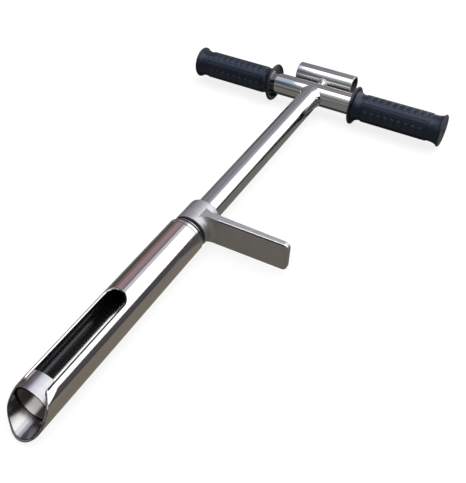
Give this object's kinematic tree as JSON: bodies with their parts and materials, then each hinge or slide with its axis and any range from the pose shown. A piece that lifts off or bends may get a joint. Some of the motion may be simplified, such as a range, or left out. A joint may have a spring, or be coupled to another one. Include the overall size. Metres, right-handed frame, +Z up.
{
  "type": "soil sampling auger",
  "caption": "Hand soil sampler: slotted gouge tube with an oblique mouth on a shaft, a T handle with rubber grips, a short strike tube behind it and a swivelling foot pedal.",
  "frame": {"origin": "centre of the bounding box's bottom face: the floor under the sampler as it lies on its back on the grip flanges", "axes": "+X along the handle towards the side where the pedal rests, +Y along the shaft from the cutting tip to the handle, +Z up out of the slot"},
  "size_m": [0.317, 0.5536, 0.044],
  "materials": {
    "polished_steel": "mirror-polished stainless steel tube and weld",
    "satin_steel": "satin stainless steel",
    "cast_steel": "bead-blasted stainless casting, matt grey",
    "grip_rubber": "matt blue-black moulded rubber",
    "washer_plastic": "black bearing plastic"
  },
  "bodies": {
    "auger": {"sampling_tube": "polished_steel", "sizing_ring": "satin_steel", "tube_end_plug": "polished_steel", "shaft": "polished_steel", "crossbar": "polished_steel", "handle_weld_left": "polished_steel", "handle_weld_right": "polished_steel", "grip_left": "grip_rubber", "grip_right": "grip_rubber", "strike_post": "polished_steel", "strike_tube": "polished_steel", "thrust_washer_lower": "washer_plastic", "thrust_washer_steel": "satin_steel", "thrust_washer_upper": "washer_plastic"},
    "pedal": {"foot_pedal": "cast_steel", "pedal_screw": "satin_steel"}
  },
  "joints": [
    {"name": "pedal_swivel", "type": "hinge", "parent": "auger", "child": "pedal", "pos_m": [0, -0.0272, 0.022], "axis": [0, 1, 0], "continuous": true}
  ]
}
